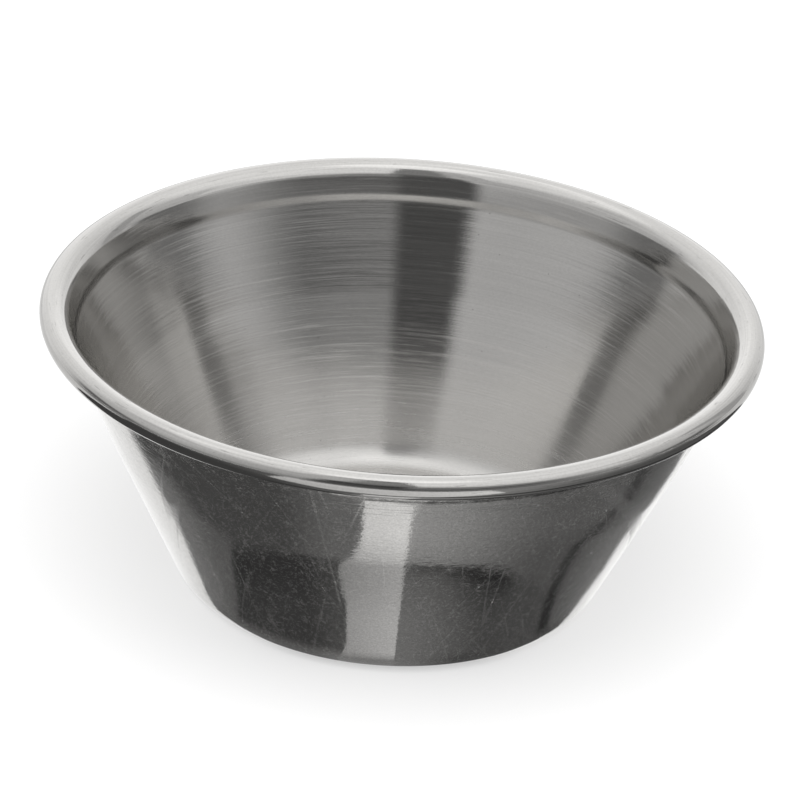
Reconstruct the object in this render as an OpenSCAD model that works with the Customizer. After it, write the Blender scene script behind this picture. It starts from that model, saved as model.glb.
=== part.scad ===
// Small steel prep bowl, drawn from one sheet, with a hollow rolled rim.
// The origin is the middle of the underside, and +Z is the bowl's axis.

/* [Bowl] */
// Diameter over the rolled rim
rim_d = 73; // [60:0.5:100]
// Height from the underside to the top of the rim
bowl_h = 30; // [24:0.5:45]
// Diameter at which the lines of the base and the wall would meet
base_d = 43; // [34:0.5:52]

/* [Sheet] */
// Thickness of the sheet
sheet_t = 0.5; // [0.3:0.05:0.7]

/* [Wall] */
// Outside radius of the bend between the base and the wall
corner_r = 4; // [2:0.25:6]
// Height of the draw line, where the wall turns a little steeper
draw_h = 17; // [12:0.5:20]
// How far the wall stands out at the draw line, from a straight cone
draw_bulge = 0.25; // [0.1:0.05:0.6]
// Outside radius of the soft bend at the draw line
draw_r = 30; // [10:1:40]

/* [Rim] */
// Diameter of the rolled bead
bead_d = 2.26; // [1.9:0.02:3]
// Radius of the lip, where the neck turns over into the bead
lip_r = 2; // [1.5:0.05:2.4]
// Lean of the neck from upright, in degrees
neck_lean = 19; // [15:1:23]
// Drop from the top of the rim to the foot of the neck
step_drop = 3.1; // [2.8:0.1:3.5]
// Lean of the step under the neck, which is more upright than neck and wall
step_lean = 11; // [8:1:14]
// Drop from the top of the rim to the crease at the foot of the step
crease_drop = 3.9; // [3.8:0.1:4.8]
// Radius of the bends at both ends of the step
crease_r = 3; // [1:0.1:3]
// Gap between the edge of the rolled sheet and the neck
curl_gap = 0.15; // [0.08:0.01:0.25]

/* [Hidden] */

// Steps in the half turn of a bend, and in the whole turn of the bowl
half_turn_steps = 24;
round_fn = 192;

// The rolled bead and the lip before it: middles, and radii on the hollow side of the sheet
bead_r = bead_d / 2;
bead_hollow_r = bead_r - sheet_t;
bead_mid = [rim_d / 2 - bead_r, bowl_h - bead_r];
lip_hollow_r = lip_r - sheet_t;
lip_mid = [bead_mid.x, bowl_h - lip_r];

// Where the neck runs into the lip, and the foot of the neck, on the outside face of the sheet
neck_heading = 90 - neck_lean;
neck_top = lip_mid + lip_hollow_r * left_of(neck_heading);
step_z = bowl_h - step_drop;
step_top = neck_top - (neck_top.y - step_z) * [tan(neck_lean), 1];

// Corners of the outside face, from the middle of the base to the crease under the step
crease = step_top - (crease_drop - step_drop) * [tan(step_lean), 1];
base_corner = [base_d / 2, 0];
cone_at_draw_line = base_corner.x + (crease.x - base_corner.x) * draw_h / crease.y;
draw_line = [cone_at_draw_line + draw_bulge, draw_h];

// The edge of the sheet stops where its outer corner is curl_gap from the neck
neck_reach = (neck_top - bead_mid) * left_of(neck_heading);
curl_turn = 360 - acos((neck_reach - curl_gap) / bead_r) - neck_heading;

// Unit vectors along a heading and square to it, to the left
function along(heading) = [cos(heading), sin(heading)];
function left_of(heading) = [-sin(heading), cos(heading)];

// Heading of the line from one point to another
function heading_of(from, to) = atan2(to.y - from.y, to.x - from.x);

// Stations [point, heading] round an arc that starts at a point and turns left by an angle.
// A negative angle turns right.
function arc(start, heading, turn, radius) =
    let (
        side = sign(turn),
        middle = start + side * radius * left_of(heading),
        steps = max(2, ceil(half_turn_steps * abs(turn) / 180))
    )
    [for (i = [0 : steps])
        let (now = heading + turn * i / steps)
        [middle - side * radius * left_of(now), now]];

// Stations of the bend that rounds the corner between two lines
function bend(before, corner, after, radius) =
    let (
        heading = heading_of(before, corner),
        turn = heading_of(corner, after) - heading,
        start = corner - radius * tan(abs(turn) / 2) * along(heading)
    )
    arc(start, heading, turn, radius);

// The lip and the bead as one run: the bead's arc goes on from the lip's last station
function rolled_rim() =
    let (
        lip = arc(neck_top, neck_heading, -neck_heading, lip_hollow_r),
        bead = arc(lip[len(lip) - 1][0], 0, -curl_turn, bead_hollow_r)
    )
    concat(lip, [for (i = [1 : len(bead) - 1]) bead[i]]);

// The outside face of the sheet, from the axis over the wall and round the rim
function sheet_path() = concat(
    [[[0, 0], 0]],
    bend([0, 0], base_corner, draw_line, corner_r),
    bend(base_corner, draw_line, crease, draw_r),
    bend(draw_line, crease, step_top, crease_r),
    bend(crease, step_top, neck_top, crease_r),
    rolled_rim()
);

// The sheet's section: the outside face, and the inside face one thickness to its left
module sheet_section() {
    path = sheet_path();
    outside = [for (s = path) s[0]];
    inside = [for (i = [len(path) - 1 : -1 : 0]) path[i][0] + sheet_t * left_of(path[i][1])];
    polygon(concat(outside, inside));
}

// The bowl: the sheet's section carried round the axis
module bowl() {
    color("silver")
        rotate_extrude($fn = round_fn)
            sheet_section();
}

bowl();
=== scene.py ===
# %% [markdown]
# # A small steel prep bowl
# One disc of stainless sheet is drawn into a cup, and its edge is rolled outwards into a bead.
# This lesson dresses the packed model of that cup: a smooth mesh of the same sheet, three steel
# finishes, and a small photo studio round it, because polished metal shows little but its studio.
# The packed model fixes the size and the place, so it is loaded first and measured.

# %% Load the frame
import math

import bpy
import numpy as np
from mathutils import Matrix, Vector


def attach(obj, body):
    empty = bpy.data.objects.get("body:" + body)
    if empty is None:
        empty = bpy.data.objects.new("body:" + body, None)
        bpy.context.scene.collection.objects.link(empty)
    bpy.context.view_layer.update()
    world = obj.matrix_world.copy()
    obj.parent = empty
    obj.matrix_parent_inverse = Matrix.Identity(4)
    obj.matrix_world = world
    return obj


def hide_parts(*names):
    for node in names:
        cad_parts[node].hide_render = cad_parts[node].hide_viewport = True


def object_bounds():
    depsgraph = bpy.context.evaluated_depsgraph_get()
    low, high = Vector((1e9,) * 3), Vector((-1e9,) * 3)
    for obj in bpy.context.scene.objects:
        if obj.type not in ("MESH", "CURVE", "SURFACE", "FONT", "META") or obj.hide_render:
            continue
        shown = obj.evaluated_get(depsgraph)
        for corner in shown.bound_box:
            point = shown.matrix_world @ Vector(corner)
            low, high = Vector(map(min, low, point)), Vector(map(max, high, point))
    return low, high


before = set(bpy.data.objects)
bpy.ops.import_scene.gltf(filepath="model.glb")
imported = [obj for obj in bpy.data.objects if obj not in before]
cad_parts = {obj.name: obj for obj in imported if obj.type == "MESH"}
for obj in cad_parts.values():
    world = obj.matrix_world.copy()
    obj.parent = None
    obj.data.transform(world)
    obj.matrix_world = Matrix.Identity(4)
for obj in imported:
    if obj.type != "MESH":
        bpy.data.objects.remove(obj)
cad_low, cad_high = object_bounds()
MM = 0.001
rim_radius = (cad_high.x - cad_low.x) / 2
bowl_height = cad_high.z - cad_low.z
print(f"rim {2 * rim_radius / MM:.1f} mm across, {bowl_height / MM:.1f} mm high")

# %% [markdown]
# ## The camera
# The photograph looks down into the bowl from a little under half a metre away, with a long lens.
# Its angle, distance and tilt were worked out from the oval of the rim and the slope of the wall.
# The camera is aimed at a point below the rim's middle, so the bowl sits where it should in the
# frame with no lens shift, and it is then turned a few degrees about its own line of sight.

# %% Place the camera
FRAME_PIXELS = 800
FOCAL_PIXELS = 4353
CAMERA_ELEVATION = math.radians(26.66)
CAMERA_ROLL = math.radians(3.56)
CAMERA_DISTANCE = 12 * rim_radius
RIM_MIDDLE_PIXEL = (403.4, 307.0)
SENSOR_WIDTH = 36

rim_middle = Vector((0, 0, bowl_height))
to_camera = Vector((0, -math.cos(CAMERA_ELEVATION), math.sin(CAMERA_ELEVATION)))
picture_right = Vector((1, 0, 0))
picture_up = to_camera.cross(picture_right)
metres_per_pixel = CAMERA_DISTANCE / FOCAL_PIXELS
off_x = RIM_MIDDLE_PIXEL[0] - FRAME_PIXELS / 2
off_y = RIM_MIDDLE_PIXEL[1] - FRAME_PIXELS / 2
level_x = math.cos(CAMERA_ROLL) * off_x + math.sin(CAMERA_ROLL) * off_y
level_y = math.cos(CAMERA_ROLL) * off_y - math.sin(CAMERA_ROLL) * off_x
aim = rim_middle + metres_per_pixel * (level_y * picture_up - level_x * picture_right)
camera_place = rim_middle + CAMERA_DISTANCE * to_camera

lens = bpy.data.cameras.new("camera")
lens.sensor_width = SENSOR_WIDTH
lens.lens = FOCAL_PIXELS / FRAME_PIXELS * SENSOR_WIDTH
lens.clip_start = 10 * MM
lens.clip_end = 10
camera = bpy.data.objects.new("camera", lens)
camera.location = camera_place
level_turn = (aim - camera_place).to_track_quat("-Z", "Y")
camera.rotation_euler = (level_turn.to_matrix() @ Matrix.Rotation(CAMERA_ROLL, 3, "Z")).to_euler()
bpy.context.collection.objects.link(camera)
bpy.context.scene.camera = camera
print(f"lens {lens.lens:.0f} mm at {CAMERA_DISTANCE / MM:.0f} mm")

# %% [markdown]
# ## The section of the sheet
# Cut through, the bowl is one thin strip: flat base, corner, sloping wall with a soft draw line, a
# crease, a short upright step, the neck, the lip that turns over, and the bead, which is hollow and
# stops just short of the neck. A path of straights and arcs follows the outside face. A curve object
# could carry it round, but plain arrays keep every point under control and give the length along the
# sheet, which the finishes need later.

# %% Straights and arcs
SHEET = 0.5 * MM
BASE_CORNER = 21.5 * MM
CORNER_RADIUS = 4.0 * MM
DRAW_HEIGHT = 17.0 * MM
DRAW_BULGE = 0.25 * MM
DRAW_RADIUS = 30.0 * MM
BEAD_RADIUS = 1.13 * MM
LIP_RADIUS = 2.0 * MM
NECK_LEAN = math.radians(19)
STEP_DROP = 3.1 * MM
STEP_LEAN = math.radians(11)
CREASE_DROP = 3.9 * MM
CREASE_RADIUS = 3.0 * MM
CURL_GAP = 0.15 * MM


def along(heading):
    """Unit step in a heading: its cosine outwards and its sine upwards."""
    return np.stack([np.cos(heading), np.sin(heading)], -1)


def left_of(heading):
    """Unit step square to a heading, on its left: the heading turned by a quarter."""
    return along(heading + np.pi / 2)


def arc(start, heading, turn, radius, steps):
    """Points and headings of an arc. Its middle lies one radius from the start, to the side it turns
    to, and each point lies one radius from the middle, square to the turned heading."""
    side = np.sign(turn) * radius
    now = heading + turn * np.linspace(0, 1, steps + 1)
    return start + side * (left_of(heading) - left_of(now)), now


def bend(before, corner, after, radius, steps):
    """The arc that rounds a corner: it starts radius times the tangent of half the turn before it."""
    heading = np.arctan2(*(corner - before)[::-1])
    turn = np.arctan2(*(after - corner)[::-1]) - heading
    early = radius * np.tan(abs(turn) / 2)
    return arc(corner - early * along(heading), heading, turn, radius, steps)


def fill_straights(points, headings, longest):
    """Adds even points where two stations lie further apart than the longest step allowed."""
    gaps = np.hypot(*np.diff(points, axis=0).T)
    pieces = np.maximum(1, np.ceil(gaps / longest).astype(int))
    at = np.concatenate([i + np.arange(n) / n for i, n in enumerate(pieces)] + [[len(gaps)]])
    whole = np.arange(len(points))
    radius, height = (np.interp(at, whole, values) for values in points.T)
    return np.stack([radius, height], 1), np.interp(at, whole, headings)


print(f"sheet {SHEET / MM:.2f} mm, lip {LIP_RADIUS / MM:.2f} mm, bead {BEAD_RADIUS / MM:.2f} mm in radius")

# %% Follow the outside face
CORNER_STEPS = 14
BEND_STEPS = 6
LIP_STEPS = 16
BEAD_STEPS = 40
LONGEST_STEP = 1.2 * MM

bead_hollow = BEAD_RADIUS - SHEET
bead_middle = np.array([rim_radius - BEAD_RADIUS, bowl_height - BEAD_RADIUS])
lip_hollow = LIP_RADIUS - SHEET
lip_middle = np.array([rim_radius - BEAD_RADIUS, bowl_height - LIP_RADIUS])
neck_heading = np.pi / 2 - NECK_LEAN
neck_top = lip_middle + lip_hollow * left_of(neck_heading)
neck_height = neck_top[1] - (bowl_height - STEP_DROP)
step = neck_top - neck_height * np.array([math.tan(NECK_LEAN), 1])
crease = step - (CREASE_DROP - STEP_DROP) * np.array([math.tan(STEP_LEAN), 1])
axis_foot = np.zeros(2)
base_corner = np.array([BASE_CORNER, 0.0])
straight_cone = BASE_CORNER + (crease[0] - BASE_CORNER) * DRAW_HEIGHT / crease[1]
draw_line = np.array([straight_cone + DRAW_BULGE, DRAW_HEIGHT])

# The curl ends where its outer corner is one gap from the neck
neck_reach = (neck_top - bead_middle) @ left_of(neck_heading)
curl_turn = 2 * np.pi - math.acos((neck_reach - CURL_GAP) / BEAD_RADIUS) - neck_heading

lip = arc(neck_top, neck_heading, -neck_heading, lip_hollow, LIP_STEPS)
bead = arc(lip[0][-1], 0.0, -curl_turn, bead_hollow, BEAD_STEPS)
stations = [
    (axis_foot[None], np.zeros(1)),
    bend(axis_foot, base_corner, draw_line, CORNER_RADIUS, CORNER_STEPS),
    bend(base_corner, draw_line, crease, DRAW_RADIUS, BEND_STEPS),
    bend(draw_line, crease, step, CREASE_RADIUS, BEND_STEPS),
    bend(crease, step, neck_top, CREASE_RADIUS, BEND_STEPS),
    lip,
    (bead[0][1:], bead[1][1:]),
]
outside, headings = fill_straights(*map(np.concatenate, zip(*stations)), LONGEST_STEP)
print(f"{len(outside)} points along the outside, the curl turns by {math.degrees(curl_turn):.0f} degrees")

# %% [markdown]
# ## The inside face
# The inside lies one sheet thickness to the left of the outside. Its reflections in the photograph
# fit a wall that leans a little more inside than outside, so the sheet grows slightly thicker down
# the wall and at the foot. The packed model keeps one thickness, and its outside is the one used here.

# %% Add the thickness
WALL_EXTRA = 0.2 * MM
WALL_LEVELS = (10.0 * MM, 26.0 * MM)
FOOT_EXTRA = 0.15 * MM
FOOT_LEVELS = (2.0 * MM, 10.0 * MM)

wall_share = np.interp(outside[:, 1], WALL_LEVELS, (1, 0))
foot_share = np.interp(outside[:, 1], FOOT_LEVELS, (1, 0))
thickness = SHEET + WALL_EXTRA * wall_share + FOOT_EXTRA * foot_share ** 2
inside = outside + thickness[:, None] * left_of(headings)
section = np.concatenate([inside, outside[::-1]])
print(f"section of {len(section)} points, {thickness.min() / MM:.2f} to {thickness.max() / MM:.2f} mm thick")

# %% [markdown]
# ## Carried round the axis
# A press makes the wall by pulling the sheet round a turned punch, so every level is a circle.
# Each point of the section becomes a ring: its radius times the cosine and sine of the angle, at
# its height. The first and last points lie on the axis and close the bowl with a fan of triangles.
# The UV map unrolls the sheet: the angle runs across it and the length along the sheet runs up.

# %% Turn the section into a mesh
TURNS = 384
SEAM_ANGLE = np.pi / 2
SHARP_ANGLE = math.radians(50)
UNROLLED = "OFBake"


def turned_mesh(name, profile, turns, start_angle):
    """A closed mesh of a profile carried round Z. Point (i, j) is radius i times the cosine and sine
    of angle j, at height i, and the end points on the axis are single vertices."""
    angle = start_angle + 2 * np.pi * np.arange(turns) / turns
    ring_r, ring_z = profile[1:-1, 0, None], profile[1:-1, 1, None]
    rings = np.stack([ring_r * np.cos(angle), ring_r * np.sin(angle), ring_z + 0 * angle], -1)
    ends = np.array([[0, 0, profile[0, 1]], [0, 0, profile[-1, 1]]])
    places = np.concatenate([rings.reshape(-1, 3), ends])
    ring_count = len(profile) - 2
    first_end, last_end = ring_count * turns + np.arange(2)

    here = np.arange(turns)
    there = (here + 1) % turns
    low = turns * np.arange(ring_count - 1)[:, None]
    quads = np.stack([low + here, low + turns + here, low + turns + there, low + there], -1)
    last = turns * (ring_count - 1)
    first_fan = np.stack([np.full(turns, first_end), here, there], -1)
    last_fan = np.stack([last + here, np.full(turns, last_end), last + there], -1)
    faces = quads.reshape(-1, 4).tolist() + first_fan.tolist() + last_fan.tolist()

    run = np.concatenate([[0], np.cumsum(np.hypot(*np.diff(profile, axis=0).T))])
    share = run / run[-1]
    left, right = here / turns, (here + 1) / turns
    below, above = share[1:-2, None] + 0 * left, share[2:-1, None] + 0 * left
    corners_u = np.stack([left, left, right, right], -1)[None] + 0 * below[..., None]
    corners_v = np.stack([below, above, above, below], -1)
    first_v = np.stack([0 * left, share[1] + 0 * left, share[1] + 0 * left], -1)
    last_v = np.stack([share[-2] + 0 * left, 1 + 0 * left, share[-2] + 0 * left], -1)
    fan_u = np.stack([(left + right) / 2, left, right], -1)
    u = np.concatenate([corners_u.ravel(), fan_u.ravel(), fan_u[:, [1, 0, 2]].ravel()])
    v = np.concatenate([corners_v.ravel(), first_v.ravel(), last_v.ravel()])

    mesh = bpy.data.meshes.new(name)
    mesh.from_pydata(places.tolist(), [], faces)
    unrolled = mesh.uv_layers.new(name=UNROLLED)
    unrolled.uv.foreach_set("vector", np.stack([u, v], -1).ravel().astype(np.float32))
    mesh.polygons.foreach_set("use_smooth", np.ones(len(faces), bool))
    mesh.set_sharp_from_angle(angle=SHARP_ANGLE)
    mesh.validate()
    return mesh, run


bowl_mesh, sheet_run = turned_mesh("steel_bowl", section, TURNS, SEAM_ANGLE)
bowl = bpy.data.objects.new("steel_bowl", bowl_mesh)
bpy.context.collection.objects.link(bowl)
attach(bowl, "root")
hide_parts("bowl")
sheet_length = sheet_run[-1]
print(f"{len(bowl_mesh.polygons)} faces, {sheet_length / MM:.0f} mm along the sheet")

# %% [markdown]
# ## Sums in the shader
# A finish is worked out from where a point lies, so the shaders below hold many small sums.
# Nodes wired one by one are hard to read. A small class stands for one socket instead: adding or
# multiplying two of them adds a Math node, and one method adds any other node by its type.


# %% A socket that can be added and multiplied
class Wire:
    """One socket of a shader. Python sums on it add Math nodes."""

    def __init__(self, tree, socket=None):
        self.tree = tree
        self.socket = socket

    def node(self, kind, settings=None, inputs=None, out=0):
        """Adds a node of a kind, sets its settings, fills its sockets and returns one output."""
        made = self.tree.nodes.new(kind)
        for name, value in (settings or {}).items():
            setattr(made, name, value)
        for name, value in (inputs or {}).items():
            if isinstance(value, Wire):
                self.tree.links.new(value.socket, made.inputs[name])
            else:
                made.inputs[name].default_value = value
        return Wire(self.tree, made.outputs[out]) if made.outputs else None

    def math(self, operation, *values):
        """A Math node on this socket and the values."""
        return self.node("ShaderNodeMath", {"operation": operation}, dict(enumerate([self, *values])))

    def __add__(self, other):
        return self.math("ADD", other)

    def __radd__(self, other):
        return self.math("ADD", other)

    def __sub__(self, other):
        return self.math("SUBTRACT", other)

    def __rsub__(self, other):
        return self.math("MULTIPLY", -1.0).math("ADD", other)

    def __mul__(self, other):
        return self.math("MULTIPLY", other)

    def __rmul__(self, other):
        return self.math("MULTIPLY", other)

    def __truediv__(self, other):
        return self.math("DIVIDE", other)

    def part(self, axis):
        """One part of a vector: X, Y or Z."""
        return self.node("ShaderNodeSeparateXYZ", inputs={"Vector": self}, out=axis)

    def smooth_step(self, low, high):
        """0 below low, 1 above high, and a smooth rise between them."""
        settings = {"interpolation_type": "SMOOTHSTEP"}
        return self.node("ShaderNodeMapRange", settings, {"Value": self, "From Min": low, "From Max": high})


def new_material(name):
    """An empty node material, and a Wire on its tree."""
    material = bpy.data.materials.new(name)
    material.use_nodes = True
    material.node_tree.nodes.clear()
    return material, Wire(material.node_tree)


print("Wire knows", ", ".join(n for n in vars(Wire) if not n.startswith("__")))

# %% [markdown]
# ## Where a mark lies on the sheet
# Polishing wheels and spinning leave marks that run round the bowl. A mark is placed by two things:
# the direction from the axis, which has no seam, and the length along the sheet, from the UV map.
# Noise that varies slowly with the direction and fast with the length makes long thin lines.


# %% Places and noise
def object_place(paint):
    """The place of a point in its object's own frame, in metres."""
    return paint.node("ShaderNodeTexCoord", out="Object")


def height_above_base(paint):
    """The height of a point above the underside, in millimetres."""
    return object_place(paint).part("Z") / MM


def sheet_places(paint):
    """The direction from the axis, as two wires, and the length along the sheet in millimetres."""
    place = object_place(paint)
    flat = paint.node("ShaderNodeVectorMath", {"operation": "MULTIPLY"}, {0: place, 1: (1, 1, 0)})
    direction = paint.node("ShaderNodeVectorMath", {"operation": "NORMALIZE"}, {0: flat})
    unrolled = paint.node("ShaderNodeUVMap", {"uv_map": UNROLLED})
    return direction.part("X"), direction.part("Y"), unrolled.part("Y") * (sheet_length / MM)


def noise(paint, spot, detail, roughness=0.5, scale=1.0):
    """Smooth noise at a spot. Detail is how often finer noise is added, and roughness how much."""
    inputs = {"Vector": spot, "Scale": scale, "Detail": detail, "Roughness": roughness}
    return paint.node("ShaderNodeTexNoise", inputs=inputs)


def line_noise(paint, places, per_mm, swing, detail=2.0, roughness=0.5):
    """Noise in lines round the bowl: per_mm lines to the millimetre along the sheet, and about six
    times swing changes on the way round, which is the length of a circle of that radius."""
    east, north, length = places
    parts = {"X": east * swing, "Y": north * swing, "Z": length * per_mm}
    return noise(paint, paint.node("ShaderNodeCombineXYZ", inputs=parts), detail, roughness)


def grain_noise(paint, per_mm, detail=2.0):
    """Even fine noise, per_mm grains to the millimetre."""
    return noise(paint, object_place(paint), detail, scale=per_mm / MM)


def ring_mark(level, middle, width):
    """A thin line right round the bowl: 1 at one height, and 0 a width above or below it."""
    return 1.0 - (level - middle).math("ABSOLUTE").smooth_step(0.0, width)


print(f"marks are placed on {sheet_length / MM:.0f} mm of sheet")

# %% [markdown]
# ## Scratches and pits
# Use leaves thin straight scratches on many slants, and small pits. They could be drawn as curves,
# but noise makes hundreds of them at no cost: a smooth noise that is drawn out along a slant passes
# through its middle value on long thin lines, and those lines are the scratches.

# %% Scratches and specks
WALL_ROUND = 55 * math.pi
SCRATCH_DRAWN = (0.008, 0.25)
SCRATCH_KEPT = (0.06, 0.4)
SCRATCH_WIDTH = (0.002, 0.009)


def scratches(paint, slant, seed, share):
    """Thin straight scratches on one slant, in degrees. Noise drawn out along the slant passes through
    its middle value on long thin lines, and a second noise above a share keeps only some of them."""
    unrolled = paint.node("ShaderNodeUVMap", {"uv_map": UNROLLED})
    across = unrolled.part("X") * WALL_ROUND
    length = unrolled.part("Y") * (sheet_length / MM)
    cosine, sine = math.cos(math.radians(slant)), math.sin(math.radians(slant))
    run = cosine * across + sine * length
    side = cosine * length - sine * across
    drawn = {"X": SCRATCH_DRAWN[0] * run, "Y": SCRATCH_DRAWN[1] * side, "Z": seed}
    level = noise(paint, paint.node("ShaderNodeCombineXYZ", inputs=drawn), 0.0)
    thin = 1.0 - (level - 0.5).math("ABSOLUTE").smooth_step(*SCRATCH_WIDTH)
    broken = {"X": SCRATCH_KEPT[0] * run, "Y": SCRATCH_KEPT[1] * side, "Z": seed + 7.0}
    kept = noise(paint, paint.node("ShaderNodeCombineXYZ", inputs=broken), 1.0)
    return thin * kept.smooth_step(share, share + 0.1)


def specks(paint, per_mm, size, share):
    """Small round pits: 1 close to the middle of a share of random cells, and 0 elsewhere."""
    cells = {"Vector": object_place(paint), "Scale": per_mm / MM}
    gap = paint.node("ShaderNodeTexVoronoi", {}, cells, "Distance")
    pick = paint.node("ShaderNodeTexVoronoi", {}, cells, "Color").part("X")
    return (1.0 - gap.smooth_step(0.5 * size, size)) * pick.smooth_step(1.0 - share, 1.001 - share)


print(f"scratches run over a wall {WALL_ROUND:.0f} mm round")

# %% [markdown]
# ## Steel
# All three finishes are one metal, a warm grey. They differ in tone, roughness, height and in how
# far the reflections are drawn out along the brush lines, so one function joins these to a shader.

# %% Steel shader
STEEL_TINT = (0.665, 0.655, 0.638)
BRUSH_TURN = 0.25


def grey(paint, tone, tint):
    """A colour of one tone: the tint's three parts, each times the tone."""
    return paint.node("ShaderNodeVectorMath", {"operation": "SCALE"}, {0: tint, "Scale": tone})


def finish_steel(paint, tone, roughness, height, depth, anisotropy, metal=1.0):
    """Joins tone, roughness and surface height to one shader. Metal is 1 where the steel is bare."""
    normal = paint.node("ShaderNodeBump", inputs={"Strength": 1.0, "Distance": depth, "Height": height})
    shader = paint.node("ShaderNodeBsdfPrincipled", inputs={
        "Base Color": grey(paint, tone, STEEL_TINT),
        "Metallic": metal,
        "Roughness": roughness,
        "Anisotropic": anisotropy,
        "Anisotropic Rotation": BRUSH_TURN,
        "Normal": normal,
    })
    paint.node("ShaderNodeOutputMaterial", inputs={"Surface": shader})


print("tint of the steel", STEEL_TINT)

# %% [markdown]
# ## The brushed inside
# The inside was spun against an abrasive, so it is covered with fine rings. They scatter light up
# and down the wall but hardly sideways: reflections stand as soft upright streaks. The shader's
# anisotropy does that for the lines too fine to see, and noise adds the ones that show. Low down the
# wall is duller, and in its upper half it is a little smoother.

# %% Brushed steel
# Heights of the clear lines round the inside, and how far each spreads, in millimetres
RING_MARKS = ((24.4, 0.16), (22.5, 0.12), (19.2, 0.2), (14.2, 0.14), (11.4, 0.2))
STEP_LEVEL = 26.5
BRUSH_DEPTH = 0.010 * MM


def brushed_steel():
    """Fine rings of two sizes in height and tone, a few clear rings, grain and pits."""
    material, paint = new_material("brushed_steel")
    places = sheet_places(paint)
    long_lines = line_noise(paint, places, 5.0, 1.2, 3.0, 0.7)
    short_lines = line_noise(paint, places, 4.0, 5.0, 3.0, 0.7)
    broad = line_noise(paint, places, 1.0, 1.5)
    grain = grain_noise(paint, 4.0)
    level = height_above_base(paint)
    marks = sum(ring_mark(level, middle, width) for middle, width in RING_MARKS)
    marks = marks * line_noise(paint, places, 0.3, 4.0).smooth_step(0.42, 0.6)
    pits = specks(paint, 0.9, 0.09, 0.3)
    lines = 0.6 * long_lines + 0.4 * short_lines
    tone = 0.73 + 0.18 * lines + 0.04 * broad + 0.12 * grain - 0.3 * pits
    dull = 0.135 * (1.0 - level.smooth_step(3.0, 15.0)) + 0.08 * ring_mark(level, STEP_LEVEL, 1.0)
    rubbed = 0.03 * level.smooth_step(14.0, 21.0)
    roughness = 0.09 + 0.08 * lines.smooth_step(0.48, 0.66) + 0.05 * marks + dull - rubbed
    bumps = lines + 1.2 * broad + 0.15 * grain + 0.12 * marks
    finish_steel(paint, tone, roughness, bumps, BRUSH_DEPTH, 1.0)
    return material


inside_finish = brushed_steel()
print("made", inside_finish.name)

# %% [markdown]
# ## The rolled rim
# The bead is rubbed bright by stacking and washing. It is smooth, with faint rings from the rolling
# wheel and a few short scuffs. The rings are noise in long lines, and the scuffs are the peaks of
# noise in short ones.

# %% Bright rim
POLISH_DEPTH = 0.0045 * MM


def bright_rim():
    """Smooth metal with faint rings, and scuffs where broken line noise peaks."""
    material, paint = new_material("bright_rim")
    places = sheet_places(paint)
    rings = line_noise(paint, places, 7.0, 2.5, 3.0)
    scuff = line_noise(paint, places, 4.0, 14.0, 3.0).smooth_step(0.62, 0.74)
    grain = grain_noise(paint, 4.0)
    tone = 0.60 + 0.24 * rings + 0.14 * grain - 0.18 * scuff
    roughness = 0.06 + 0.06 * rings + 0.12 * scuff
    finish_steel(paint, tone, roughness, rings + 0.4 * grain, POLISH_DEPTH, 0.4)
    return material


rim_finish = bright_rim()
print("made", rim_finish.name)

# %% [markdown]
# ## The worn outside
# The outside keeps the mirror of the rolled sheet. It is dulled by fine lines round it, by streaks
# close under the rim, and by smears and dust, and scratches cross it on six slants.
# Dust and scratches scatter a little light even where the mirror is dark, so there the
# surface is not quite all metal. Shallow waves in the sheet make the edges of reflections ragged.

# %% Worn polish
SCRATCH_SLANTS = (66, -61, 81, -74, 86, 48)
SCRATCH_SHARE = 0.47
SEED_STEP = 3.7


def worn_polish():
    """Nearly mirror metal: faint rings, grain, waves, streaks, smears, dust, pits and scratches."""
    material, paint = new_material("worn_polish")
    places = sheet_places(paint)
    rings = line_noise(paint, places, 3.5, 16.0, 3.0, 0.6)
    grain = grain_noise(paint, 5.0)
    waves = line_noise(paint, places, 2.6, 42.0, 2.0)
    under_rim = height_above_base(paint).smooth_step(22.0, 25.0)
    streaks = line_noise(paint, places, 5.0, 6.0, 2.0).smooth_step(0.53, 0.66) * under_rim
    smears = line_noise(paint, places, 0.7, 22.0, 5.0, 0.7).smooth_step(0.42, 0.68)
    worn = sum(
        scratches(paint, slant, SEED_STEP * number, SCRATCH_SHARE)
        for number, slant in enumerate(SCRATCH_SLANTS)
    )
    worn = worn.math("MINIMUM", 1.0)
    dust = grain_noise(paint, 3.2, 3.0).smooth_step(0.46, 0.68) * (0.3 + smears)
    pits = specks(paint, 0.8, 0.06, 0.12)
    tone = 0.67 + 0.12 * rings + 0.48 * grain - 0.25 * pits
    roughness = 0.06 + 0.06 * rings + 0.12 * worn + 0.18 * streaks + 0.06 * smears
    metal = 1.0 - 0.07 * dust - 0.03 * worn
    bumps = rings + 0.5 * grain + 2.8 * waves + 0.6 * streaks
    finish_steel(paint, tone, roughness, bumps, POLISH_DEPTH, 0.3, metal)
    return material


outside_finish = worn_polish()
print("made", outside_finish.name)

# %% [markdown]
# ## Which finish goes where
# Along the sheet the finishes follow each other: brushed from the middle of the base up over the
# step and the neck to the lip, bright over the lip and the bead to the cut edge, and worn polish all
# the way back under. Each face takes the finish of its place along the section, so no mask is needed.

# %% Lay the finishes on the bowl
BRUSHED, BRIGHT, WORN = range(3)
for finish in (inside_finish, rim_finish, outside_finish):
    bowl_mesh.materials.append(finish)
lip_station = len(inside) - BEAD_STEPS - LIP_STEPS
bands = np.full(len(section) - 3, WORN)
bands[:len(inside) - 1] = BRIGHT
bands[:lip_station] = BRUSHED
face_finish = np.concatenate([np.repeat(bands, TURNS), np.full(TURNS, BRUSHED), np.full(TURNS, WORN)])
bowl_mesh.polygons.foreach_set("material_index", face_finish.astype(np.int32))
print("faces per finish", np.bincount(face_finish))

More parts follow.
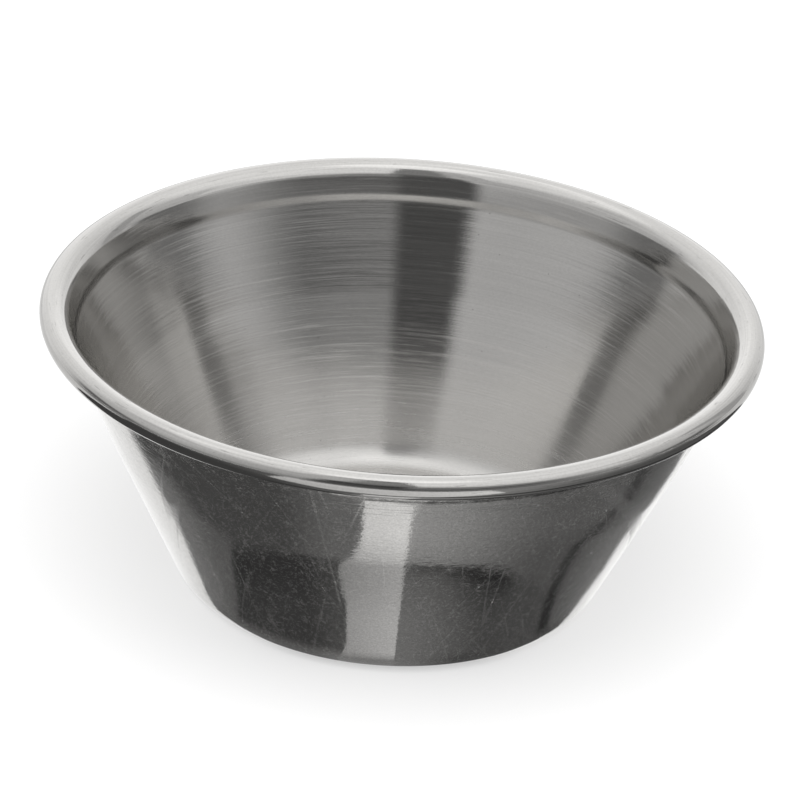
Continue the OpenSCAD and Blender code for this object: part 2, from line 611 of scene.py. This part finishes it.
# %% [markdown]
# ## The studio floor
# The bowl stands on a plain white sweep: a disc of matt white, lit by the lamp and the world, so it
# keeps the bowl's soft shadow. The camera alone sees it half filled with white, which lifts the
# shadow and makes the background white without more light on the bowl.

# %% White floor
FLOOR_WHITE = (0.93, 0.93, 0.93, 1)
FLOOR_FILL = 0.5
FLOOR_RADIUS = 3.0
FLOOR_DROP = 0.02 * MM


def grid_card(name, places, material):
    """A mesh from a grid of points: neighbours along both parameters make the quads."""
    rows, columns = places.shape[:2]
    index = np.arange(rows * columns).reshape(rows, columns)
    quads = np.stack([index[:-1, :-1], index[1:, :-1], index[1:, 1:], index[:-1, 1:]], -1)
    mesh = bpy.data.meshes.new(name)
    mesh.from_pydata(places.reshape(-1, 3).tolist(), [], quads.reshape(-1, 4).tolist())
    mesh.materials.append(material)
    card = bpy.data.objects.new(name, mesh)
    bpy.context.collection.objects.link(card)
    return card


def matt_white():
    """Matt white that the camera sees with its shadows half filled, as on a lit table."""
    material, paint = new_material("floor_white")
    matt = paint.node("ShaderNodeBsdfDiffuse", inputs={"Color": FLOOR_WHITE})
    white = paint.node("ShaderNodeEmission", inputs={"Color": (1, 1, 1, 1), "Strength": 1.0})
    filled = paint.node("ShaderNodeLightPath", out="Is Camera Ray") * FLOOR_FILL
    shader = paint.node("ShaderNodeMixShader", inputs={0: filled, 1: matt, 2: white})
    paint.node("ShaderNodeOutputMaterial", inputs={"Surface": shader})
    return material


ring_radii = np.geomspace(0.01, FLOOR_RADIUS, 12)
ring_radii[0] = 0
reach, turn = np.meshgrid(ring_radii, np.linspace(0, 2 * np.pi, 65), indexing="ij")
floor_grid = np.stack([reach * np.cos(turn), reach * np.sin(turn), 0 * reach - FLOOR_DROP], -1)
grid_card("floor", floor_grid, matt_white())
print("floor", 2 * FLOOR_RADIUS, "m across")

# %% [markdown]
# ## A tent for the metal to mirror
# Photographers put a shiny object in a white tent and set dark cards round it, because the cards
# draw its dark edges. An image of a studio could stand in for them, but a tent and cards that are
# worked out need no file and can be moved. The tent here is a dome that brightens towards the back
# and the top, with a dark room along the horizon. Its tones and angles were tuned until the
# reflections fell close to where the photograph has them.


# %% Glowing cloth on a dome
def show_to_mirrors_only(card):
    """A card that only reflections see: it hides from the camera and throws no shadow."""
    card.visible_camera = False
    card.visible_diffuse = False
    card.visible_shadow = False
    card.visible_transmission = False
    card.visible_volume_scatter = False


def glow(name, tone_of, strength):
    """A material that shines by itself, with the tone that tone_of works out from its paint. One tone
    all over is a plain number, and goes straight to the shader's own socket."""
    material, paint = new_material(name)
    tone = tone_of(paint)
    colour = grey(paint, tone, (1, 1, 1)) if isinstance(tone, Wire) else (tone, tone, tone, 1)
    shader = paint.node("ShaderNodeEmission", inputs={"Color": colour, "Strength": strength})
    paint.node("ShaderNodeOutputMaterial", inputs={"Surface": shader})
    material.cycles.emission_sampling = "NONE"
    return material


def dome_patch(radius, left, right, low, high, columns, rows):
    """Points on a ball round the bowl, from left to right of the camera's side and from low to high:
    the radius times the cosine of the elevation, turned to the azimuth, at its sine's height."""
    azimuth, elevation = np.meshgrid(np.linspace(left, right, columns), np.linspace(low, high, rows))
    azimuth, elevation = np.radians(azimuth), np.radians(elevation)
    level_reach = radius * np.cos(elevation)
    height = radius * np.sin(elevation)
    return np.stack([level_reach * np.sin(azimuth), -level_reach * np.cos(azimuth), height], -1)


def card_ways(paint):
    """Where a point of the tent lies, seen from the bowl: azimuth in degrees from the camera's side,
    to the right, and the parts of its direction to the right and upwards."""
    way = paint.node("ShaderNodeVectorMath", {"operation": "NORMALIZE"}, {0: object_place(paint)})
    right, back, up = (way.part(axis) for axis in "XYZ")
    return right.math("ARCTAN2", -1.0 * back) * math.degrees(1), right, up


def rise(up, start, end):
    """0 under one elevation in degrees, 1 over another, and a smooth rise between them."""
    return up.smooth_step(math.sin(math.radians(start)), math.sin(math.radians(end)))


print("the camera's side of the dome lies towards", dome_patch(1, 0, 0, 0, 0, 1, 1)[0, 0])

# %% The tent
TENT_RADIUS = 0.9
TENT_STRENGTH = 1.15
TENT_GRID = (73, 25)


def horizon_tone(off_front):
    """The dark room beyond the table, darkest at the sides."""
    return 0.36 - 0.19 * off_front.smooth_step(68.0, 90.0)


def tent_tone(paint):
    """Dim in front and at the sides, bright at the back and overhead, most on the right, and darker
    along the horizon, except at the back."""
    azimuth, right, up = card_ways(paint)
    off_front = azimuth.math("ABSOLUTE")
    dim = 0.44 + 0.09 * off_front.smooth_step(30.0, 90.0) + 0.13 * rise(up, 12, 40)
    back_right = azimuth.smooth_step(114.0, 150.0) * (0.88 - dim)
    back_left = (-1.0 * azimuth).smooth_step(98.0, 135.0) * (0.95 - dim)
    hot_right = 0.34 * azimuth.smooth_step(150.0, 180.0)
    hot_left = 0.27 * (-1.0 * azimuth).smooth_step(140.0, 180.0)
    back = back_right + back_left + (hot_right + hot_left) * (1.0 - 0.6 * rise(up, 18, 40))
    tone = dim + back * (1.0 - 0.8 * rise(up, 55, 88))
    overhead = rise(up, 38, 58) * right.smooth_step(-0.15, 0.12)
    tone = tone + overhead * (1.05 - tone)
    tone = tone + 0.3 * rise(up, 48, 62) * (1.0 - overhead) + 0.35 * rise(up, 74, 84)
    horizon = (1.0 - rise(up, 12, 17)) * (1.0 - off_front.smooth_step(101.0, 113.0))
    return tone + horizon * (horizon_tone(off_front) - tone)


tent_places = dome_patch(TENT_RADIUS, -180, 180, -3, 90, *TENT_GRID)
tent = grid_card("tent", tent_places, glow("tent_cloth", tent_tone, TENT_STRENGTH))
show_to_mirrors_only(tent)
print("tent", 2 * TENT_RADIUS, "m across")

# %% [markdown]
# ## Cards before the tent
# Four cards stand a little in front of the cloth: the dark camera, the dark front of the room beside
# it on the right, a white softbox over that, and a grey corner behind on the right. Inside the bowl
# they show as the dark upright stripe, the light wall beside it and the soft streaks at the sides.

# %% Camera, table, softbox and corner
CARD_RADIUS = 0.8 * TENT_RADIUS
CARD_GRID = (16, 12)


def table_low_tone(up):
    """The dark front of the room seen low over the table: darkest from 17 to 21 degrees up."""
    return 0.18 - 0.06 * rise(up, 13, 17) + 0.18 * rise(up, 21, 25.5) - 0.05 * rise(up, 26.5, 30)


def camera_tone(paint):
    """Nearly black where the camera stands, and dark grey above it, with soft sides."""
    azimuth, _, up = card_ways(paint)
    tone = 0.31 - 0.22 * rise(up, 1, 8) - 0.03 * rise(up, 23, 26)
    tone = tone + 0.11 * rise(up, 31, 37) + 0.11 * rise(up, 36, 46)
    beside = 0.44 + 0.13 * rise(up, 12, 40)
    beside = beside + (1.0 - rise(up, 12, 17)) * (0.36 - beside)
    edge = azimuth + 2.5 * (1.0 - rise(up, 23.5, 25)) - 7.0 * rise(up, 36, 43)
    tone = tone + (1.0 - edge.smooth_step(-25.0, -18.0)) * (beside - tone)
    return tone + azimuth.smooth_step(1.0, 8.0) * (table_low_tone(up) - tone)


def table_tone(paint):
    """Dark low down, lighter towards the right, and light above an edge that sinks to the right."""
    azimuth, _, up = card_ways(paint)
    low = table_low_tone(up)
    side = horizon_tone(azimuth)
    side = side + rise(up, 12, 17) * (0.50 - side)
    low = low + azimuth.smooth_step(36.0, 74.0) * (side - low)
    sunk = 0.004 * (azimuth - 40.0).math("MAXIMUM", 0.0)
    height = up + sunk - 0.04 * (1.0 - azimuth.smooth_step(18.0, 32.0))
    return low + (0.84 - low) * height.smooth_step(0.50, 0.68)


# Left and right azimuth, low and high elevation in degrees, and the tone
CARDS = {
    "camera_card": (-36, 8, -2, 76, camera_tone),
    "table_card": (8, 82, -1, 48, table_tone),
    "softbox_card": (8, 60, 48, 78, lambda paint: 1.0),
    "corner_card": (114, 126, -1, 42, lambda paint: 0.45),
}
for name, (*sides, tone) in CARDS.items():
    places = dome_patch(CARD_RADIUS, *sides, *CARD_GRID)
    show_to_mirrors_only(grid_card(name, places, glow(name, tone, TENT_STRENGTH)))
print("cards", ", ".join(CARDS))

# %% [markdown]
# ## Cards on the floor
# The outside wall leans outwards as it rises, so it mirrors the floor. Five cards lie there: a dark
# one on the left and on the right, a light gap between them, which shows as the bright stripe in
# front, and white paper at both sides and behind. They lie just above the floor, and only
# reflections see them. Their tones follow the wall that mirrors them, so each place is first worked
# out as an azimuth on that wall and a distance from the axis. Close to the bowl the left, gap and
# right cards are darker: a painted shade for the floor under and beside the bowl.

# %% Places on the floor
CARD_NEAR = 20.4 * MM
CARD_FAR = 700 * MM
CARD_LIFT = 0.2 * MM
FLOOR_CARD_GRID = (24, 100)


def floor_patch(edge_a, edge_b, columns, rows):
    """A card on the floor between two edges. Each edge gives the azimuth, from the camera's side, at
    a few distances from the axis, and the points between them share it out evenly."""
    reach = np.geomspace(CARD_NEAR, CARD_FAR, rows)[:, None]
    share = np.linspace(0, 1, columns)[None]
    azimuth_a = np.interp(reach, *np.array(edge_a).T * [[MM], [1]])
    azimuth_b = np.interp(reach, *np.array(edge_b).T * [[MM], [1]])
    azimuth = np.radians(azimuth_a + (azimuth_b - azimuth_a) * share)
    return np.stack([reach * np.sin(azimuth), -reach * np.cos(azimuth), 0 * azimuth + CARD_LIFT], -1)


def mirrored_places(paint):
    """Where on the wall a floor point is mirrored: the wall's azimuth in degrees, and the distance of
    the floor point from the axis in millimetres, with its own azimuth. A tilted mirror swings the
    view further round than itself, and more so higher up, so the floor's azimuth is divided by a
    swing that grows outwards. At the sides it swings further still, which the cube takes off."""
    place = object_place(paint)
    azimuth = place.part("X").math("ARCTAN2", -1.0 * place.part("Y")) * math.degrees(1)
    reach = paint.node("ShaderNodeVectorMath", {"operation": "LENGTH"}, {0: place}, "Value") / MM
    swing = (0.27 + 0.037 * reach).math("MINIMUM", 0.955 + 0.0157 * reach)
    turn = azimuth / swing
    return turn - 0.00004 * turn * turn * turn, reach, azimuth


def past_step(wall, reach, middle, sag):
    """How far out a floor point lies from the step in tone, the edge of the painted shade under the rim's
    overhang, which comes nearer at the sides.
    """
    return reach - middle + sag * wall * wall


def dark_ring(reach):
    """1 on the ring of floor that the bend under the rim mirrors as a dark line, and 0 elsewhere."""
    return reach.smooth_step(42.5, 45.5) * (1.0 - reach.smooth_step(50.0, 55.0))


def by_the_base(reach):
    """1 right beside the base and 0 a few millimetres from it. There the cards turn to one grey, a painted
    shade at the foot of the bowl.
    """
    return 1.0 - reach.smooth_step(22.3, 23.6)


print(f"floor cards from {CARD_NEAR / MM:.1f} to {CARD_FAR / MM:.0f} mm from the axis")


# %% Tones of the floor cards
def left_card_tone(paint):
    """Darkest close to the bowl, a painted shade for the floor under the rim, lighter beside the gap, and
    lighter towards its far left edge.
    """
    wall, reach, _ = mirrored_places(paint)
    past = past_step(wall, reach, 33.2, 0.0025)
    # Inside the step the tone is a painted shade of the floor under the rim's overhang
    overhang_shade_tone = 0.054 - 0.014 * past.smooth_step(-6.0, -1.5) + 0.03 * wall.smooth_step(-18.0, -10.0)
    far_tone = 0.074 + 0.085 * wall.smooth_step(-21.0, -8.0)
    tone = overhang_shade_tone + past.smooth_step(-0.5, 0.5) * (far_tone - overhang_shade_tone)
    further = (reach - 31.2).math("MAXIMUM", 0.0)
    nearer = (31.2 - reach).math("MAXIMUM", 0.0)
    edge = -33.0 - 1.65 * further - 0.5 * nearer
    side_tone = 0.12 + 0.08 * (-1.0 * wall).smooth_step(36.0, 46.0)
    tone = tone + (edge - wall).smooth_step(-1.0, 1.0) * (side_tone - tone)
    return tone + by_the_base(reach) * (0.13 + 0.08 * wall.smooth_step(-20.0, -8.0) - tone)


def right_card_tone(paint):
    """Lightest beside the gap, with an arc of painted shade close to the bowl and a dark line before the far
    right.
    """
    wall, reach, _ = mirrored_places(paint)
    past = past_step(wall, reach, 33.6, 0.0042)
    before_end = 1.0 - wall.smooth_step(22.0, 30.0)
    # Inside the step the tone is a painted shade under the rim's overhang, deepest in an arc just inside the
    # step
    arc_shade = (0.6 * past.smooth_step(-2.6, -0.5) + 0.4 * past.smooth_step(-8.0, -1.0)) * before_end
    spot_shade = past.smooth_step(-6.0, -1.6) * wall.smooth_step(10.0, 18.0) * before_end
    overhang_shade_tone = (0.20 - 0.12 * wall.smooth_step(2.0, 27.0)) * (1.0 - 0.66 * arc_shade - 0.18 * spot_shade)
    far_tone = (0.38 - 0.255 * wall.smooth_step(2.0, 32.0)) * (0.8 + 0.2 * reach.smooth_step(33.5, 37.0))
    tone = overhang_shade_tone + past.smooth_step(-0.4, 0.4) * (far_tone - overhang_shade_tone)
    line = 38.5 + (1.5 * (reach - 33.0)).math("MAXIMUM", 0.0).math("MINIMUM", 7.0)
    off_line = wall - line - 0.35 * (29.0 - reach).math("MAXIMUM", 0.0)
    side_tone = 0.115 + 0.085 * off_line.smooth_step(1.0, 13.0)
    tone = tone + off_line.smooth_step(0.0, 3.0) * (side_tone - tone)
    tone = tone * (0.42 + 0.58 * off_line.math("ABSOLUTE").smooth_step(0.4, 2.4))
    tone = tone * (1.0 - 0.7 * dark_ring(reach))
    return tone + by_the_base(reach) * (0.2 - 0.12 * wall.smooth_step(4.0, 20.0) - tone)


def gap_card_tone(paint):
    """Grey close to the bowl, where its own wall shades the floor, and lighter further out."""
    wall, reach, _ = mirrored_places(paint)
    tone = 0.52 - 0.09 * reach.smooth_step(26.0, 31.0) + 0.44 * reach.smooth_step(31.8, 37.0)
    tone = (tone + 0.014 * wall) * (1.0 - 0.75 * dark_ring(reach))
    return tone + by_the_base(reach) * (0.24 - tone)


def white_card_tone(paint):
    """White paper, brighter at the sides, dimmer far out in front and right behind the bowl."""
    wall, reach, azimuth = mirrored_places(paint)
    off_front = azimuth.math("ABSOLUTE")
    near = 0.87 + 0.23 * wall.math("ABSOLUTE").smooth_step(45.0, 62.0)
    far_front = reach.smooth_step(120.0, 220.0) * (1.0 - off_front.smooth_step(95.0, 115.0))
    return near - 0.55 * far_front - 0.4 * off_front.smooth_step(140.0, 180.0)


print("tones for the left, the gap, the right and the white paper")

# %% Lay the floor cards
# Each edge is a few pairs of distance from the axis in millimetres and azimuth in degrees
LEFT_EDGE = [
    (22, -12), (24, -10), (28, -11), (31, -14), (32.5, -13.5), (34, -10), (36, -7.5), (42, -7), (70, -30),
]
RIGHT_EDGE = [(23, 3.5), (29, 4.5), (34, 5), (39, 6), (43, 7), (52, 10), (58, 18), (70, 27)]
FAR_LEFT_EDGE = [
    (20.4, -24), (21, -35), (22, -47), (23, -58), (26, -66), (30, -73), (35, -80), (42, -90),
    (60, -98), (80, -94), (150, -80),
]
FAR_RIGHT_EDGE = [
    (20.4, 26), (21, 38), (22, 51), (23, 63), (26, 79), (30, 87), (34, 98), (40, 109),
    (60, 116), (80, 108), (150, 90),
]
BACK_LEFT_EDGE = [(22, -180), (80, -180)]
BACK_RIGHT_EDGE = [(22, 180), (80, 180)]
FLOOR_CARDS = {
    "left_card": (FAR_LEFT_EDGE, LEFT_EDGE, left_card_tone),
    "gap_card": (LEFT_EDGE, RIGHT_EDGE, gap_card_tone),
    "right_card": (RIGHT_EDGE, FAR_RIGHT_EDGE, right_card_tone),
    "white_left_card": (BACK_LEFT_EDGE, FAR_LEFT_EDGE, white_card_tone),
    "white_right_card": (FAR_RIGHT_EDGE, BACK_RIGHT_EDGE, white_card_tone),
}
for name, (start_edge, end_edge, tone) in FLOOR_CARDS.items():
    places = floor_patch(start_edge, end_edge, *FLOOR_CARD_GRID)
    show_to_mirrors_only(grid_card(name, places, glow(name, tone, 1.0)))
print("floor cards", ", ".join(FLOOR_CARDS))

# %% [markdown]
# ## Lamp and world
# One large soft lamp hangs above the bowl and a little in front of it, and the white world fills the
# shadows. The background is white to the camera and to reflections alike. Inside the bowl light is
# mirrored from wall to wall many times, so the render may follow more glossy bounces than usual.

# %% Light the floor
LAMP_PLACE = (0.0, -0.45, 0.9)
LAMP_SIZE = 1.2
LAMP_WATTS = 11.0
lamp_data = bpy.data.lights.new("soft_lamp", "AREA")
lamp_data.shape = "DISK"
lamp_data.size = LAMP_SIZE
lamp_data.energy = LAMP_WATTS
lamp = bpy.data.objects.new("soft_lamp", lamp_data)
lamp.location = LAMP_PLACE
lamp.rotation_euler = (rim_middle - lamp.location).to_track_quat("-Z", "Y").to_euler()
lamp.visible_glossy = False
bpy.context.collection.objects.link(lamp)
print("lamp", LAMP_WATTS, "W")

# %% White world
WORLD_FILL = 0.75
GLOSSY_BOUNCES = 10
world = bpy.data.worlds.new("white_world")
bpy.context.scene.world = world
world.use_nodes = True
world.node_tree.nodes.clear()
air = Wire(world.node_tree)
seen = air.node("ShaderNodeLightPath", out="Is Camera Ray")
seen = seen + air.node("ShaderNodeLightPath", out="Is Glossy Ray")
seen = seen + air.node("ShaderNodeLightPath", out="Is Transmission Ray")
strength = WORLD_FILL + (1 - WORLD_FILL) * seen.math("MINIMUM", 1.0)
sky = air.node("ShaderNodeBackground", inputs={"Color": (1, 1, 1, 1), "Strength": strength})
air.node("ShaderNodeOutputWorld", inputs={"Surface": sky})

bpy.context.scene.view_settings.view_transform = "Standard"
bpy.context.scene.cycles.glossy_bounces = GLOSSY_BOUNCES
print("world fill", WORLD_FILL)

# %% [markdown]
# ## The end
# The dressed bowl has to fill the same box as the packed model.
